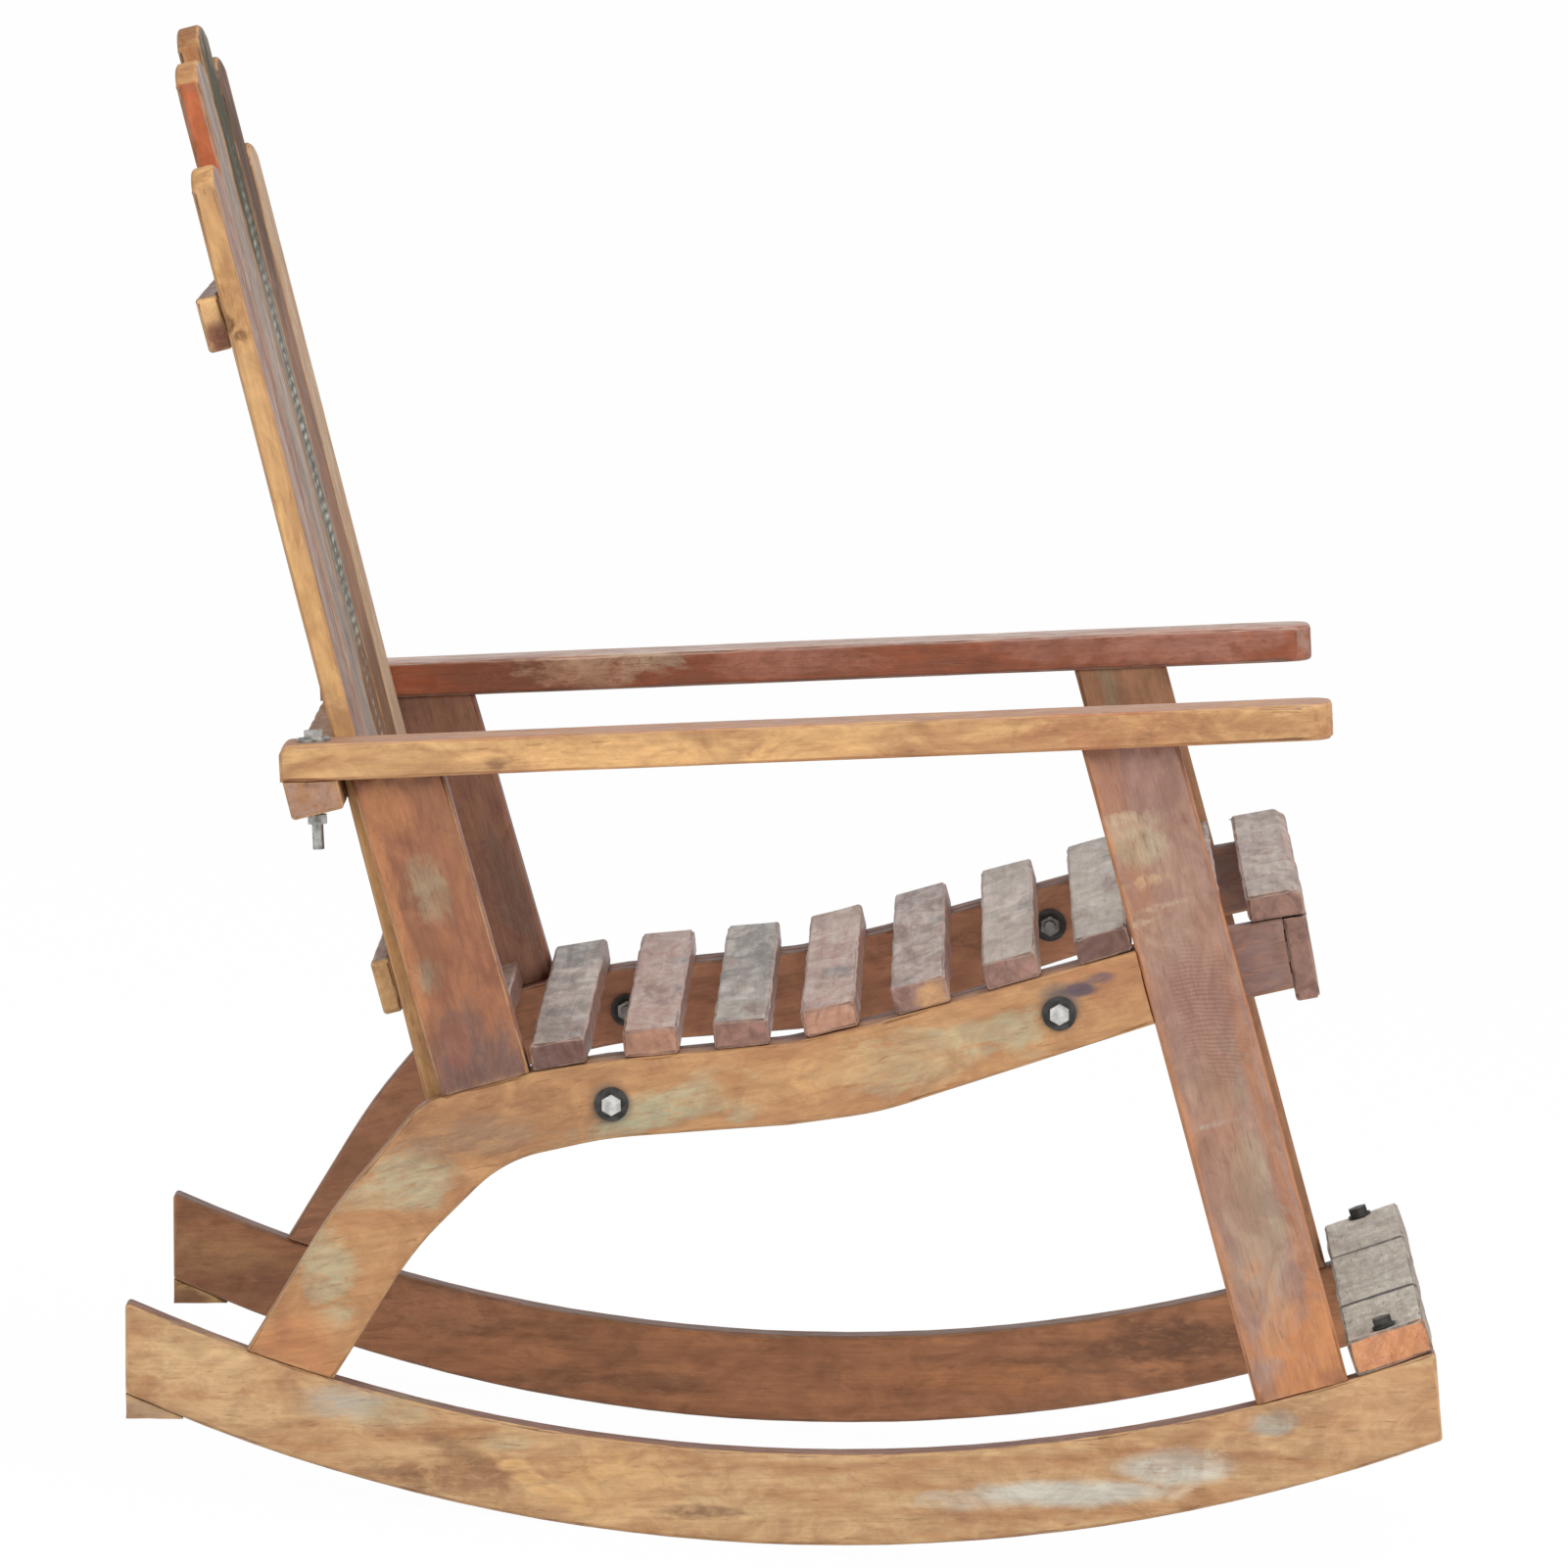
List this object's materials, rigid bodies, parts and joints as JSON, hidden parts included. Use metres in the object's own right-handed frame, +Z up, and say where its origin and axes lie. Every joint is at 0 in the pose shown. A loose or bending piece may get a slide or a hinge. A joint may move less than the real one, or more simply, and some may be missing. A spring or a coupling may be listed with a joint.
{
  "type": "outdoor rocking chair",
  "caption": "Outdoor rocking chair of reclaimed boards, with a fan back, slatted dished seat, flat arms, curved rockers and a footboard across the toes.",
  "frame": {"origin": "on the floor, under the middle of the chair's overall length and width, in the pose in which the empty chair rests", "axes": "+Z up, -Y towards the front of the chair, +X towards the sitter's left"},
  "size_m": [0.632, 1.0053, 0.9992],
  "materials": {
    "golden_board": "golden-orange planed edges, oiled, with pale worn patches",
    "red_brown_board": "red-brown oiled old board",
    "mauve_board": "mauve-brown weathered face with fine saw marks",
    "grey_board": "grey-mauve weathered face with a satin sheen",
    "painted_board": "brown board with traces of pale blue-green paint",
    "dowel_wood": "plain hardwood dowel",
    "bright_steel": "zinc-plated steel",
    "dark_steel": "dark steel"
  },
  "bodies": {
    "root": {"apron_dowels": "dowel_wood", "arm_bolt_nuts": "bright_steel", "arm_bolt_washers": "bright_steel", "arm_bolts": "bright_steel", "arm_crossbar": "red_brown_board", "arm_dowels": "dowel_wood", "arm_left": "red_brown_board", "arm_right": "golden_board", "back_foot_rail": "mauve_board", "back_slat_centre": "painted_board", "back_slat_inner_left": "painted_board", "back_slat_inner_right": "red_brown_board", "back_slat_outer_left": "grey_board", "back_slat_outer_right": "golden_board", "crossbar_screws": "dark_steel", "foot_rail_dowels": "dowel_wood", "foot_rail_screws": "dark_steel", "footboard": "grey_board", "footboard_coach_screws": "dark_steel", "footboard_washers": "dark_steel", "frame_dowels": "dowel_wood", "front_apron": "mauve_board", "front_leg_left": "mauve_board", "front_leg_right": "mauve_board", "lower_back_batten": "red_brown_board", "lower_batten_screws": "dark_steel", "nose_slat": "grey_board", "rear_post_left": "red_brown_board", "rear_post_right": "red_brown_board", "rear_seat_slat": "mauve_board", "rocker_dowels": "dowel_wood", "rocker_left": "golden_board", "rocker_right": "golden_board", "seat_rail_left": "mauve_board", "seat_rail_right": "mauve_board", "seat_slat_1": "grey_board", "seat_slat_2": "grey_board", "seat_slat_3": "grey_board", "seat_slat_4": "grey_board", "seat_slat_5": "grey_board", "seat_slat_6": "grey_board", "seat_slat_7": "grey_board", "seat_slat_8": "grey_board", "seat_slat_dowels": "dowel_wood", "side_bolt_nuts": "bright_steel", "side_bolt_washers": "dark_steel", "side_bolts": "bright_steel", "side_rail_left": "golden_board", "side_rail_right": "golden_board", "tail_block_left": "red_brown_board", "tail_block_nails": "dark_steel", "tail_block_right": "red_brown_board", "upper_back_batten": "red_brown_board", "upper_batten_screws": "dark_steel"}
  },
  "joints": []
}
